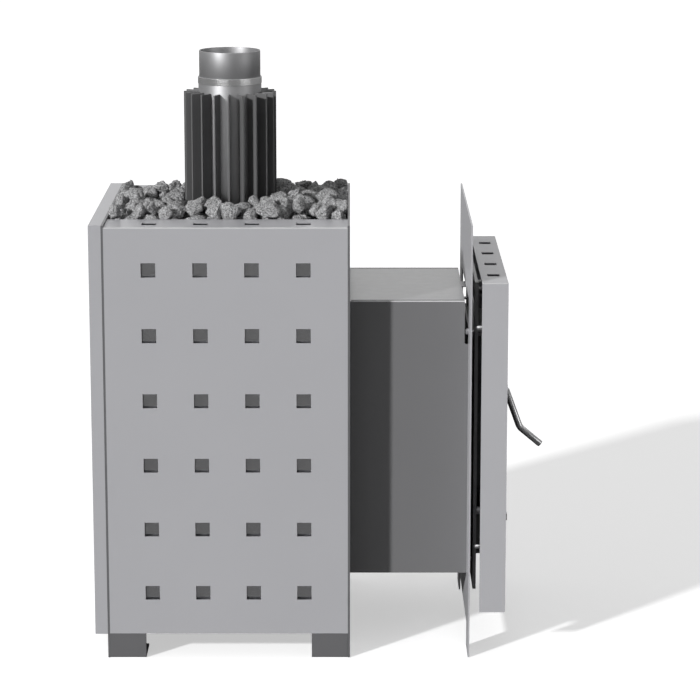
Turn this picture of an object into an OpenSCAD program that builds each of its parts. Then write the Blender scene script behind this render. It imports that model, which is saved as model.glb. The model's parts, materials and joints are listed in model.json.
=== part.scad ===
// Wood-burning sauna heater with a through-wall fuel tunnel.
// +X runs along the tunnel to the door, +Y to the far side, +Z up.
// The origin is on the floor, under the middle of the whole heater.
// All sizes are millimetres.

/* [Casing] */
// Length of the casing, from the back of its rear plate to the face of its front plate
casing_len = 442; // [430:2:470]
// Width of the casing, the wall plate and the front screen
casing_wid = 500; // [490:5:560]
// Height of the casing plates above the floor
casing_ht = 800; // [790:5:860]
// Thickness of the casing's front and rear plates
plate_t = 4; // [3:0.5:6]
// Width of each leg left under a plate
leg_w = 72; // [60:2:90]
// Height of the legs
leg_h = 46; // [40:1:55]

/* [Side panels] */
// Thickness of the folded sheet of panels, rear shield and screen
sheet_t = 2; // [1.5:0.25:2.5]
// How far a panel's top lies below the top of the plates
panel_drop = 3.5; // [3:0.5:8]
// Width of the lips that close a panel's ends
panel_lip = 12; // [10:0.5:13]
// Side of the square holes
hole_s = 26; // [18:1:32]
// Distance of the outer columns of holes from the casing plates
hole_end = 79; // [60:1:110]
// Distance of the top and bottom rows of holes from the panel's ends
hole_edge = 77; // [60:1:110]
// Holes in a row
hole_cols = 4; // [2:1:4]
// Rows of holes
hole_rows = 6; // [2:1:6]
// Distance of the flange's holes from the panel's face
flange_hole_in = 42; // [36:1:50]

/* [Inner shields] */
// Air gap between a panel and the shield behind it
shield_gap = 8.5; // [6:0.5:20]
// How far the shield stays below the panel's top
shield_drop = 15; // [10:1:25]
// Height of the floor shield above the legs
floor_shield_lift = 14; // [8:1:20]

/* [Feet] */
// Length of a foot along the casing
foot_len = 66; // [50:1:80]
// Thickness of a foot's plate
foot_t = 4; // [3:0.5:5]
// Radius of a foot's bottom corner
foot_r = 3; // [1:0.5:3]

/* [Rear shield] */
// Depth of the rear shield's flanges
rear_gap = 22.7; // [18:0.1:28]
// How much shorter the rear shield is than the legs
rear_bottom_drop = 1; // [0:0.5:4]
// Radius of the spacer tubes behind the rear shield
spacer_r = 7; // [6:0.5:9]

/* [Firebox] */
// How much wider the firebox is inside than the fuel duct, on each side
fb_side = 8; // [6:0.5:8]
// Wall thickness of the firebox
fb_wall = 6; // [5:0.5:6]
// Clear space between the firebox and the rear plate
fb_gap_rear = 18; // [12:1:30]
// Clear space between the firebox and the front plate
fb_gap_front = 20; // [12:1:30]
// Underside of the firebox above the floor
fb_bottom = 158; // [152:1:164]
// Underside of the roof above the floor
roof_z = 647; // [640:1:655]
// Thickness of the roof plate
roof_t = 8; // [6:0.5:10]
// Width of the rails that carry the firebox
rail_w = 40; // [30:1:50]
// Thickness of the rails
rail_t = 4; // [3:0.5:5]
// Thickness of the hearth plate round the grate
hearth_t = 6; // [4:0.5:8]
// Thickness of the cast grate
grate_t = 12; // [8:0.5:14]
// Length of the grate
grate_len = 310; // [240:5:330]
// Width of the grate
grate_wid = 200; // [160:2:230]
// Width of the grate's bars
bar_w = 12; // [10:0.5:14]
// Width of the slots between the bars
bar_gap = 10; // [8:0.5:12]
// How far the grate rests on the hearth plate all round
grate_lap = 9; // [6:0.5:12]
// Thickness of the side liners
liner_t = 5; // [4:0.5:6]
// Top of the side liners above the floor
liner_top = 520; // [480:5:550]
// Thickness of the flame baffle
baffle_t = 6; // [5:0.5:8]
// Underside of the baffle above the floor
baffle_z = 565; // [560:1:585]
// Length of the baffle from the rear wall
baffle_len = 290; // [240:5:310]
// Side of the square bars that carry the baffle
baffle_bar = 12; // [10:0.5:14]

/* [Stone bin] */
// How much wider the stone bin is than the firebox, on each side
bin_side = 10; // [9:0.5:12]
// Wall of the stone bin
bin_t = 3; // [2:0.5:4]
// Clear space between the bin and each casing plate
bin_gap = 4; // [3:0.5:8]
// Mean height that the heap of stones rises above the bin
heap_rise = 26; // [14:1:32]
// Stones along the bin in the lower layer
low_cols = 6; // [6:1:6]
// Stones across the bin in the lower layer
low_rows = 4; // [4:1:4]
// Stones along the bin in the upper layer
top_cols = 8; // [8:1:8]
// Stones across the bin in the upper layer
top_rows = 6; // [6:1:6]

/* [Flue] */
// Outer radius of the fins
fin_r = 85; // [80:1:90]
// Number of fins
fins = 20; // [16:1:22]
// Thickness of a fin
fin_t = 3; // [2:0.25:4]
// Outer radius of the core tube that carries the fins
core_r = 58; // [56:0.5:60]
// Top of the collector above the floor
collector_top = 1010; // [980:5:1040]
// Outer radius of the spigot, for a 115 mm flue pipe
spigot_r = 56.3; // [54:0.1:58]
// Wall of the spigot
spigot_wall = 2; // [1.5:0.25:3]
// How much the spigot's foot is swaged in to fit the collar
spigot_swage = 1.9; // [1.6:0.1:2.4]
// Free length of the spigot above the clamp band
spigot_free = 48; // [40:1:60]
// Wall of the collar round the spigot's foot
collar_wall = 3.5; // [3:0.1:4]
// Height of the collar
collar_ht = 27; // [22:1:34]
// Height of the clamp band
band_h = 12; // [10:0.5:16]
// Thickness of the clamp band
band_t = 0.6; // [0.5:0.1:2]
// How far the clamp band's ears stand out
ear_len = 14; // [12:0.5:18]
// Thickness of each ear
ear_t = 2.5; // [2:0.25:4]
// Gap between the two ears
ear_gap = 5; // [4:0.5:8]

/* [Tunnel] */
// Distance from the casing to the wall plate
wall_gap = 215; // [205:1:260]
// Air gap between the fuel duct and each side of the tunnel shroud
shroud_side = 28; // [26:0.5:30]
// How far the shroud reaches below the fuel duct
shroud_below = 23; // [18:0.5:26]
// How far the shroud reaches above the fuel duct
shroud_above = 64.5; // [60:0.5:66]
// How much the shroud's top sheet stops short of the wall plate
shroud_short = 7; // [6.5:0.5:9]
// How far the notch in the shroud's sides reaches below the air window
notch_below = 27.5; // [24:0.5:32]
// Width of the tab that locates the shroud's top sheet in the wall plate's window
tab_w = 50; // [30:1:70]
// How much wider the fuel duct is than the fuel mouth, on each side
duct_side = 8; // [6:0.5:9]
// How much higher the fuel duct is than the top of the fuel mouth
duct_over = 8; // [5:0.5:10]
// Wall of the fuel duct
duct_t = 4; // [3:0.5:4]
// Inner height of the ash passage under the shelf
ash_h = 98; // [96:1:100]
// Thickness of the shelf between fuel and ash passages
shelf_t = 4; // [3:0.5:5]
// Clearance of the duct in the plates that it passes
duct_clear = 1; // [0.5:0.25:1.5]

/* [Wall plate] */
// Thickness of the wall plate
wall_t = 3; // [2:0.5:4]
// How far the air window begins above the fuel duct
window_above = 12; // [10:0.5:14]
// Height of the air window
window_h = 56; // [50:1:58]

/* [Portal] */
// Gap between the wall plate and the portal plate
portal_gap = 7; // [5:0.5:12]
// Thickness of the portal plate
portal_t = 6; // [5:0.5:8]
// How much narrower the portal plate is than the wall plate, on each side
portal_in = 52; // [48:1:60]
// How far the portal plate reaches below the ash passage
portal_below = 49; // [40:1:60]
// How far the portal plate reaches above the fuel mouth
portal_above = 116; // [104:1:120]
// Width of the fuel mouth
mouth_w = 256; // [248:1:260]
// How far the fuel mouth's sill lies above the shelf
mouth_sill = 24; // [23:0.5:30]
// Height of the fuel mouth
mouth_h = 282; // [268:1:284]
// Length of the mouth collar
mouth_len = 31; // [29:0.5:33]
// Wall of the mouth collar
mouth_t = 4; // [3:0.5:5]

/* [Front screen] */
// Gap between the portal plate and the screen's back edge
screen_gap = 4.5; // [3:0.5:6]
// Depth of the screen
screen_depth = 47; // [46:0.5:48]
// How far the screen reaches below the ash passage
screen_below = 78; // [60:1:90]
// How far the screen reaches above the door leaf
screen_above = 110; // [100:1:120]
// Side of the screen's square holes
vent_s = 22; // [16:1:24]
// Distance from the door's cut-out to the columns of square holes beside it
vent_edge = 12.5; // [8:0.5:16]
// Distance from the door's cut-out to the row of square holes above it
vent_over = 56; // [46:1:64]
// Gap between the fuel door and the screen's cut-out
door_gap = 4; // [3.5:0.5:5]
// Distance of a stud from the screen's edges
stud_in = 25; // [20:1:30]
// Height of the lower studs above the floor
stud_z = 204; // [150:1:210]
// Height of the upper studs above the lower ones
stud_pitch = 406; // [380:1:430]
// Radius of the studs
stud_r = 4; // [3:0.25:5]
// How far the studs reach behind the screen
stud_reach = 10.5; // [8:0.5:11]
// Radius of the tubes that carry the screen on the portal plate
standoff_r = 7; // [5.5:0.5:7]
// Distance of those tubes from the portal plate's sides
standoff_in = 10; // [8:0.5:12]

/* [Fuel door] */
// How far the door leaf laps over the mouth collar
leaf_lap = 10; // [9:0.5:11]
// Depth of the door leaf
leaf_d = 16; // [15:0.5:17]
// How far the leaf stands proud of the screen
leaf_proud = 1.5; // [0.5:0.25:3]
// Thickness of the leaf's face
face_t = 3; // [2.5:0.25:4]
// Thickness of the leaf's rim
rim_t = 4; // [3:0.5:4.5]
// Distance from the fuel mouth's sides to the door's window
pane_side = 44; // [42:1:60]
// Distance from the fuel mouth's top and bottom to the door's window
pane_end = 36; // [32:1:50]
// How far the glass reaches behind the face all round
pane_lap = 7; // [5:0.5:8]
// Thickness of the glass
pane_t = 4; // [3:0.5:5]
// Width of the frame that holds the glass
retainer_w = 12; // [10:0.5:12]
// Thickness of that frame
retainer_t = 2; // [1.5:0.25:3]
// Thickness of the door's inner plate
backing_t = 2; // [1.5:0.25:2.5]
// Width of the gasket
gasket_w = 10; // [8:0.5:10]
// Radius of the hinge knuckles
knuckle_r = 7; // [6:0.25:8]
// Radius of the hinge pins
pin_r = 3; // [2.5:0.25:3.5]
// Length of one knuckle
knuckle_len = 16; // [14:0.5:20]
// Distance of each hinge from the leaf's top or bottom
hinge_in = 80; // [74:1:88]

/* [Door handle] */
// Distance of the handle's shaft from the fuel mouth's side
shaft_in = 20; // [18:0.5:21]
// Height of the handle's shaft above the middle of the door
shaft_up = 40; // [0:5:60]
// Radius of the handle's shaft and rod
rod_r = 6.2; // [5:0.1:6.4]
// Radius of the handle's hub
hub_r = 10; // [9:0.5:12]
// Length of the hub
hub_len = 7; // [6:0.5:9]
// Reach of the rod's upper run away from the door
rod_x1 = 26; // [18:1:32]
// Drop of the rod's upper run
rod_z1 = 71.5; // [60:0.5:80]
// Reach of the rod's lower run
rod_x2 = 39; // [30:1:54]
// Drop of the rod's lower run
rod_z2 = 32.5; // [25:0.5:40]
// Radius of the threaded tail of the shaft
tail_r = 4; // [3.5:0.25:4.5]
// Thickness of the latch tongue
tongue_t = 5; // [4:0.5:5]
// Length of the latch tongue from the shaft's axis
tongue_len = 17; // [16:0.5:18]
// Width of the latch tongue
tongue_w = 13; // [12:0.5:14]
// Width of the catch inside the mouth
catch_w = 9; // [8:0.5:10]
// Thickness of the catch
catch_t = 3; // [2:0.25:3.5]
// Height of the catch
catch_h = 36; // [30:1:44]

/* [Ash drawer] */
// Length of the ash drawer's tray
tray_len = 570; // [520:5:600]
// Height of the tray
tray_h = 80; // [60:1:81]
// Wall of the tray
tray_t = 2; // [1.5:0.25:2.5]
// Clearance of the tray on each side of its passage
tray_clear = 2; // [1:0.25:3]
// How far the drawer's front laps over the screen all round
front_lap = 5; // [4:0.5:6]
// Thickness of the drawer's front
front_t = 3; // [2:0.5:4]
// Width of the finger pull
pull_w = 90; // [70:2:110]
// Depth of the finger pull
pull_d = 10; // [8:0.5:12]
// Thickness of the finger pull
pull_t = 3; // [2:0.5:3]

/* [Fasteners] */
// Radius of the sheet screws
screw_r = 2.5; // [2:0.25:3]
// Radius of a screw's head
head_r = 5; // [4:0.25:5.5]
// Height of a screw's head
head_h = 2.6; // [2:0.2:3]
// Radius of the long bolts
bolt_r = 3; // [2.5:0.25:3.5]
// Radius of the studs that hold the wall plate
tie_r = 3; // [2.5:0.25:3]
// Width across the flats of the wall plate's nuts
nut_af = 10; // [8:0.5:10]
// Thickness of those nuts
nut_h = 5; // [4:0.5:6]

/* [Fits] */
// Clearance round a screw, stud or glass pane
fit = 0.3; // [0.2:0.05:0.4]
// Running clearance round a pin or shaft
run = 0.1; // [0.05:0.01:0.15]
// How far a cut runs past a face
over = 1; // [0.5:0.5:2]

/* [Hidden] */
$fn = 48;

// Places along X, worked out from the casing's front face at 0 and then moved
// so that the origin lies half way between the rear shield and the handle's end
screen_x = wall_gap + wall_t + portal_gap + portal_t + screen_gap;
screen_face = screen_x + screen_depth;
leaf_face = screen_face + leaf_proud;
rod_start_x = leaf_face + hub_len / 2;
rod_end_x = rod_start_x + rod_x1 + rod_x2;
rod_len2 = sqrt(rod_x2 * rod_x2 + rod_z2 * rod_z2);
reach_front = rod_end_x + rod_r * rod_z2 / rod_len2;
reach_rear = casing_len + rear_gap;
front_x = (reach_rear - reach_front) / 2;
rear_x = front_x - casing_len;
mid_x = front_x - casing_len / 2;
in_front = front_x - plate_t;
in_rear = rear_x + plate_t;

// Casing
half_w = casing_wid / 2;
panel_top = casing_ht - panel_drop;
grid_z = (leg_h + panel_top) / 2;
hole_pitch_x = (casing_len - 2 * plate_t - 2 * hole_end) / (hole_cols - 1);
hole_pitch_z = (panel_top - leg_h - 2 * hole_edge) / (hole_rows - 1);
shield_y = half_w - sheet_t - shield_gap;
between_lips = [in_rear + sheet_t, in_front - sheet_t];
shield_top = panel_top - shield_drop;
shield_bottom = leg_h + floor_shield_lift;
screw_rows_share = [0.06, 0.35, 0.65, 0.94];

// Firebox
fb_rear = in_rear + fb_gap_rear;
fb_front = in_front - fb_gap_front;
ash_floor = fb_bottom + fb_wall;
shelf_z = ash_floor + ash_h;
fire_z = shelf_z + shelf_t;
hearth_z = fire_z - grate_t - hearth_t;
mouth_z = fire_z + mouth_sill;
duct_in_top = mouth_z + mouth_h + duct_over;
duct_half = mouth_w / 2 + duct_side;
fb_in_half = duct_half + fb_side;
fb_half = fb_in_half + fb_wall;
grate_slots = floor((grate_wid - bar_w) / (bar_w + bar_gap));
grate_x = (fb_rear + fb_front) / 2;
rail_z = fb_bottom - rail_w;

// Stone bin
bin_rear = in_rear + bin_gap;
bin_front = in_front - bin_gap;
bin_z = roof_z + roof_t;
bin_top = panel_top - sheet_t;
bin_out_half = fb_half + bin_side;
bin_half = bin_out_half - bin_t;
low_top_share = 0.46;
low_top = bin_z + low_top_share * (bin_top + heap_rise - bin_z);
plan_jitter_share = 0.2;
heap_jitter_share = 0.2;
stone_gap = 0.3;
collector_clear = 3;

// Flue
collar_in = spigot_r - spigot_swage + run;
collar_r = collar_in + collar_wall;
band_in = collar_r + run;
band_r = band_in + band_t;
band_z = collector_top + collar_ht - band_h;
flue_hole = spigot_r - spigot_swage - spigot_wall;
ear_turn = 60;
fin_turn = 0.5;
fin_step = 360 / fins;

// Tunnel, wall and portal
wall_x = front_x + wall_gap;
wall_face = wall_x + wall_t;
portal_x = wall_face + portal_gap;
portal_face = portal_x + portal_t;
mouth_end = portal_face + mouth_len;
duct_z = ash_floor - duct_t;
duct_top = duct_in_top + duct_t;
shroud_half = duct_half + duct_t + shroud_side;
shroud_z = duct_z - shroud_below;
shroud_top = duct_top + shroud_above;
window_z = duct_top + window_above;
notch_z = window_z - notch_below;
portal_half = half_w - portal_in;
portal_z = ash_floor - portal_below;
portal_top = mouth_z + mouth_h + portal_above;
tie_in = 6;
tie_places = [
  [shroud_half - tie_in, window_z - tie_in],
  [-shroud_half + tie_in, window_z - tie_in],
  [duct_half + (shroud_half - duct_half) / 2, duct_z],
  [-duct_half - (shroud_half - duct_half) / 2, duct_z]];

// Screen, door and drawer
back_x = front_x + screen_x;
face_x = front_x + screen_face;
leaf_x1 = front_x + leaf_face;
leaf_x0 = leaf_x1 - leaf_d;
leaf_half = mouth_w / 2 + mouth_t + leaf_lap;
leaf_z0 = mouth_z - mouth_t - leaf_lap;
leaf_z1 = mouth_z + mouth_h + mouth_t + leaf_lap;
pane_z = (leaf_z0 + leaf_z1) / 2;
pane_half = mouth_w / 2 - pane_side;
pane_rise = mouth_h / 2 - pane_end;
screen_z = ash_floor - screen_below;
screen_top = leaf_z1 + screen_above;
vent_pitch_y = (leaf_half + door_gap + vent_edge + vent_s / 2) / (3 / 2);
vent_pitch_z = (leaf_z1 + door_gap + vent_over + vent_s / 2 - pane_z) / 2;
shaft_y = mouth_w / 2 - shaft_in;
shaft_z = pane_z + shaft_up;
glass_x = leaf_x1 - face_t - fit;
hinge_off = 8;
hinge_y = leaf_half + hinge_off;
hinge_x = leaf_x1 + knuckle_r;
hinge_rows = [leaf_z0 + hinge_in, leaf_z1 - hinge_in];
catch_x = mouth_end - catch_t;
tongue_x = catch_x - run - tongue_t;
tray_half = duct_half - tray_clear;
tray_z = ash_floor + fit;
front_in_z = shelf_z - tray_clear;
drawer_face = face_x + fit;

// A box between two corners, each given as its lowest and highest value
module span(x, y, z)
  translate([x[0], y[0], z[0]]) cube([x[1] - x[0], y[1] - y[0], z[1] - z[0]]);

// The children and their mirror image on the far side
module both_sides() {
  children();
  mirror([0, 1, 0]) children();
}

// A round bar along X
module bar_x(x, r, y = 0, z = 0)
  translate([x[0], y, z]) rotate([0, 90, 0]) cylinder(r = r, h = x[1] - x[0]);

// A hexagonal nut along X
module nut_x(x, af, h)
  translate([x, 0, 0]) rotate([0, 90, 0]) cylinder(r = af / sqrt(3), h = h, $fn = 6);

// A screw along X whose head lies outside at x, with its shank to the other side
module screw_x(x, dir, r, len) {
  bar_x(dir > 0 ? [x, x + head_h] : [x - head_h, x], head_r);
  bar_x(dir > 0 ? [x - len, x + over] : [x - over, x + len], r);
}

// A sunk screw along X whose flat head ends flush at x, grown all round by a clearance
module sunk_screw(x, dir, len, grow)
  translate([x, 0, 0]) rotate([0, -dir * 90, 0]) {
    cylinder(r1 = head_r + grow, r2 = screw_r + grow, h = head_h);
    cylinder(r = screw_r + grow, h = len);
  }

// Outline of a floor-standing plate with a leg at each side, drawn in Y and Z
module legged_plate(x, t)
  difference() {
    span([x, x + t], [-half_w, half_w], [0, casing_ht]);
    span([x - over, x + t + over], [-half_w + leg_w, half_w - leg_w], [-over, leg_h]);
  }

// Places of the screws that hold the panels' end lips
module panel_screw_places()
  both_sides()
    for (s = screw_rows_share)
      translate([0, half_w - sheet_t - panel_lip / 2, leg_h + s * (panel_top - leg_h)]) children();

// Places of the bolts and spacers of the rear shield
module shield_bolt_places()
  both_sides()
    for (s = [screw_rows_share[0], 1 / 2, screw_rows_share[3]])
      translate([0, half_w - leg_w / 2, leg_h + s * (panel_top - leg_h)]) children();

// Rectangular ring round the X axis, from its inner half width and inner Z range
module ring_x(x, half, z, t)
  difference() {
    span(x, [-half - t, half + t], [z[0] - t, z[1] + t]);
    span([x[0] - over, x[1] + over], [-half, half], z);
  }

module front_plate()
  color([0.4, 0.4, 0.41])
    difference() {
      legged_plate(in_front, plate_t);
      span([in_front - over, front_x + over], [-duct_half - duct_t - duct_clear,
        duct_half + duct_t + duct_clear], [duct_z - duct_clear, duct_top + duct_clear]);
      panel_screw_places() sunk_screw(front_x, 1, plate_t + over, run);
    }

module rear_plate()
  color([0.4, 0.4, 0.41])
    difference() {
      legged_plate(rear_x, plate_t);
      panel_screw_places() sunk_screw(rear_x, -1, plate_t + over, run);
      shield_bolt_places() bar_x([rear_x - over, in_rear + over], bolt_r + run);
    }

// Side panel on the far side: a folded tray with square holes
module side_panel()
  color([0.69, 0.69, 0.7])
    difference() {
      union() {
        span([in_rear, in_front], [half_w - sheet_t, half_w], [leg_h, panel_top]);
        span([in_rear, in_front], [bin_out_half, half_w], [panel_top - sheet_t, panel_top]);
        span([in_rear, in_front], [half_w - sheet_t - panel_lip, half_w], [leg_h, leg_h + sheet_t]);
        for (x = [in_rear, in_front - sheet_t])
          span([x, x + sheet_t], [half_w - sheet_t - panel_lip, half_w], [leg_h, panel_top]);
      }
      for (i = [0 : hole_cols - 1]) {
        hole_x = mid_x + (i - (hole_cols - 1) / 2) * hole_pitch_x;
        for (j = [0 : hole_rows - 1])
          translate([hole_x, half_w, grid_z + (j - (hole_rows - 1) / 2) * hole_pitch_z])
            cube([hole_s, 2 * (sheet_t + over), hole_s], center = true);
        translate([hole_x, half_w - flange_hole_in, panel_top])
          cube([hole_s, hole_s, 2 * (sheet_t + over)], center = true);
      }
      panel_screw_places() bar_x([in_rear - over, in_front + over], screw_r + run);
    }

module side_panel_near() mirror([0, 1, 0]) side_panel();
module side_panel_far() side_panel();

// Inner shield on the far side
module inner_shield()
  color([0.69, 0.69, 0.7])
    span(between_lips, [shield_y - sheet_t, shield_y], [shield_bottom, shield_top]);

module inner_shield_near() mirror([0, 1, 0]) inner_shield();
module inner_shield_far() inner_shield();

module floor_shield()
  color([0.5, 0.5, 0.51])
    span(between_lips, [-shield_y + sheet_t, shield_y - sheet_t],
      [shield_bottom, shield_bottom + sheet_t]);

// One foot: an upright wall under the panel and a sole that lies on the floor
module foot(x)
  difference() {
    span([x, x + foot_len], [half_w - leg_w, half_w], [0, leg_h]);
    span([x - over, x + foot_len + over], [half_w - leg_w - over, half_w - foot_t],
      [foot_t, leg_h + over]);
    translate([x - over, half_w - foot_r, foot_r])
      rotate([0, 90, 0]) difference() {
        cube([2 * foot_r, 2 * foot_r, foot_len + 2 * over]);
        cylinder(r = foot_r, h = foot_len + 2 * over);
      }
  }

module feet()
  color([0.36, 0.36, 0.37])
    both_sides() {
      foot(in_rear);
      foot(in_front - foot_len);
    }

module rear_shield()
  color([0.66, 0.66, 0.67])
    difference() {
      span([rear_x - rear_gap, rear_x], [-half_w, half_w], [leg_h - rear_bottom_drop, casing_ht]);
      span([rear_x - rear_gap + sheet_t, rear_x + over], [-half_w + sheet_t, half_w - sheet_t],
        [leg_h - rear_bottom_drop - over, casing_ht - sheet_t]);
      shield_bolt_places() bar_x([rear_x - rear_gap - over, rear_x], bolt_r + run);
    }

module shield_spacers()
  color([0.6, 0.6, 0.61])
    shield_bolt_places()
      difference() {
        bar_x([rear_x - rear_gap + sheet_t, rear_x], spacer_r);
        bar_x([rear_x - rear_gap, rear_x + over], bolt_r + run);
      }

module shield_bolts()
  color([0.75, 0.75, 0.76])
    shield_bolt_places() screw_x(rear_x - rear_gap, -1, bolt_r, rear_gap + plate_t + head_h);

module panel_screws()
  color([0.75, 0.75, 0.76])
    panel_screw_places() {
      sunk_screw(front_x, 1, plate_t + sheet_t + head_h, 0);
      sunk_screw(rear_x, -1, plate_t + sheet_t + head_h, 0);
    }

module base_rails()
  color([0.3, 0.3, 0.31])
    both_sides()
      difference() {
        span([in_rear, in_front], [fb_half - rail_w, fb_half], [rail_z, fb_bottom]);
        span([in_rear - over, in_front + over], [fb_half - rail_w - over, fb_half - rail_t],
          [rail_z - over, fb_bottom - rail_t]);
      }

module firebox_body()
  color([0.25, 0.25, 0.26])
    difference() {
      span([fb_rear, fb_front], [-fb_half, fb_half], [fb_bottom, roof_z]);
      span([fb_rear + fb_wall, fb_front - fb_wall], [-fb_in_half, fb_in_half],
        [ash_floor, roof_z + over]);
      span([fb_front - fb_wall - over, fb_front + over], [-duct_half, duct_half],
        [ash_floor, duct_in_top]);
    }

module firebox_roof()
  color([0.25, 0.25, 0.26])
    difference() {
      span([bin_rear, bin_front], [-bin_out_half, bin_out_half], [roof_z, bin_z]);
      translate([mid_x, 0, roof_z - over]) cylinder(r = flue_hole, h = roof_t + 2 * over, $fn = 96);
    }

// The plate round the grate, with the grate's seat cut through it
module hearth_plate()
  color([0.3, 0.3, 0.31])
    difference() {
      span([fb_rear + fb_wall, fb_front - fb_wall], [-fb_in_half, fb_in_half],
        [hearth_z, hearth_z + hearth_t]);
      span([grate_x - grate_len / 2 + grate_lap, grate_x + grate_len / 2 - grate_lap],
        [-grate_wid / 2 + grate_lap, grate_wid / 2 - grate_lap],
        [hearth_z - over, hearth_z + hearth_t + over]);
    }

module fire_grate()
  color([0.2, 0.2, 0.2])
    translate([grate_x, 0, hearth_z + hearth_t])
      difference() {
        span([-grate_len / 2, grate_len / 2], [-grate_wid / 2, grate_wid / 2], [0, grate_t]);
        for (i = [0 : grate_slots - 1])
          translate([0, (i - (grate_slots - 1) / 2) * (bar_w + bar_gap), 0])
            span([-grate_len / 2 + 2 * bar_w, grate_len / 2 - 2 * bar_w],
              [-bar_gap / 2, bar_gap / 2], [-over, grate_t + over]);
      }

module firebox_liners()
  color([0.35, 0.33, 0.32])
    both_sides()
      span([fb_rear + fb_wall, fb_front - fb_wall], [fb_in_half - liner_t, fb_in_half],
        [hearth_z + hearth_t, liner_top]);

module baffle_bars()
  color([0.3, 0.3, 0.31])
    both_sides()
      span([fb_rear + fb_wall, fb_rear + fb_wall + baffle_len],
        [fb_in_half - baffle_bar, fb_in_half], [baffle_z - baffle_bar, baffle_z]);

module flame_baffle()
  color([0.3, 0.3, 0.31])
    span([fb_rear + fb_wall + fit, fb_rear + fb_wall + baffle_len],
      [-fb_in_half + fit, fb_in_half - fit], [baffle_z, baffle_z + baffle_t]);

module stone_bin()
  color([0.4, 0.4, 0.41])
    difference() {
      span([bin_rear, bin_front], [-bin_out_half, bin_out_half], [bin_z, bin_top]);
      span([bin_rear + bin_t, bin_front - bin_t], [-bin_half, bin_half],
        [bin_z - over, bin_top + over]);
    }

// A repeatable number from -1 to 1 for three whole numbers and a kind
function noise(i, j, k, kind) =
  let (n = sin(i * 127.1 + j * 311.7 + k * 74.7 + kind * 201.3) * 437.5853)
  2 * (n - floor(n)) - 1;

// Moves a point that lies inside the collector's clear circle out to its edge
function clear_of_flue(p) =
  let (dx = p[0] - mid_x, dist = sqrt(dx * dx + p[1] * p[1]),
    r = fin_r + collector_clear)
  dist >= r || dist == 0 ? p : [mid_x + dx * r / dist, p[1] * r / dist, p[2]];

// Corner (i, j, k) of a layer of stones: a grid whose inner corners are moved at random
function stone_corner(i, j, k, n, z) =
  let (cell_x = (bin_front - bin_rear - 2 * bin_t) / n[0], cell_y = 2 * bin_half / n[1],
    x_in = i > 0 && i < n[0] ? 1 : 0, y_in = j > 0 && j < n[1] ? 1 : 0)
  clear_of_flue([
    bin_rear + bin_t + cell_x * (i + plan_jitter_share * x_in * noise(i, j, k, 1)),
    -bin_half + cell_y * (j + plan_jitter_share * y_in * noise(i, j, k, 2)),
    z[k] + (z[1] - z[0]) * (k == 1 ? z[2] * noise(i, j, k, 3) : 0)]);

// Point of a stone at a, b, c, each 0, 1 or 2: corners, mid-edges and face centres are
// averages of its eight corners, and the first two are drawn in towards its middle
function stone_point(a, b, c, corners) =
  let (
    lo = [a < 2 ? 0 : 1, b < 2 ? 0 : 1, c < 2 ? 0 : 1],
    hi = [a > 0 ? 1 : 0, b > 0 ? 1 : 0, c > 0 ? 1 : 0],
    picked = [for (i = [lo[0] : hi[0]], j = [lo[1] : hi[1]], k = [lo[2] : hi[2]])
      corners[i * 4 + j * 2 + k]],
    mean = average(picked), middle = average(corners),
    ends = (a == 1 ? 0 : 1) + (b == 1 ? 0 : 1) + (c == 1 ? 0 : 1),
    away = mean - middle,
    draw_shares = [0, 0, 0.17, 0.34])
  middle + away * (1 - draw_shares[ends]) - (ends == 1 ? away / norm(away) * stone_gap / 2 : 0 * away);

function average(points) = [for (c = [0 : 2]) add([for (p = points) p[c]]) / len(points)];
function add(values, i = 0) = i < len(values) ? values[i] + add(values, i + 1) : 0;

// Two triangles for each quarter of one face of the three-by-three-by-three point block
function quad(p, q, r, s) = [[p, q, r], [p, r, s]];
function face_quads(at, flip) = [for (u = [0, 1], v = [0, 1]) each
  quad(at(u, v), flip ? at(u, v + 1) : at(u + 1, v), at(u + 1, v + 1),
    flip ? at(u + 1, v) : at(u, v + 1))];
stone_faces = [
  each face_quads(function(u, v) 9 * u + 3 * v, false),
  each face_quads(function(u, v) 9 * u + 3 * v + 2, true),
  each face_quads(function(u, v) 9 * u + v, true),
  each face_quads(function(u, v) 9 * u + v + 6, false),
  each face_quads(function(u, v) 3 * u + v, false),
  each face_quads(function(u, v) 3 * u + v + 18, true)];

// One layer of stones between two heights, leaving out those where the collector stands
module stone_layer(n, z)
  for (i = [0 : n[0] - 1], j = [0 : n[1] - 1]) {
    corners = [for (a = [0, 1], b = [0, 1], c = [0, 1]) stone_corner(i + a, j + b, c, n, z)];
    plan_x = (bin_rear + bin_front) / 2
      + (i + 1 / 2 - n[0] / 2) * (bin_front - bin_rear - 2 * bin_t) / n[0];
    plan_y = (j + 1 / 2 - n[1] / 2) * 2 * bin_half / n[1];
    if (norm([plan_x - mid_x, plan_y]) > fin_r + collector_clear)
      polyhedron([for (a = [0 : 2], b = [0 : 2], c = [0 : 2]) stone_point(a, b, c, corners)],
        stone_faces);
  }

module lower_stones()
  color([0.45, 0.45, 0.45]) stone_layer([low_cols, low_rows], [bin_z, low_top, 0]);

module upper_stones()
  color([0.55, 0.55, 0.55])
    stone_layer([top_cols, top_rows], [low_top, bin_top + heap_rise, heap_jitter_share]);

// A round tube whose foot is at height z on the flue's axis
module flue_tube(z, h, r_out, r_in)
  translate([mid_x, 0, z])
    difference() {
      cylinder(r = r_out, h = h, $fn = 96);
      translate([0, 0, -over]) cylinder(r = r_in, h = h + 2 * over, $fn = 96);
    }

module flue_collector()
  color([0.25, 0.25, 0.26]) flue_tube(bin_z, collector_top - bin_z, core_r, flue_hole);

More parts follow.
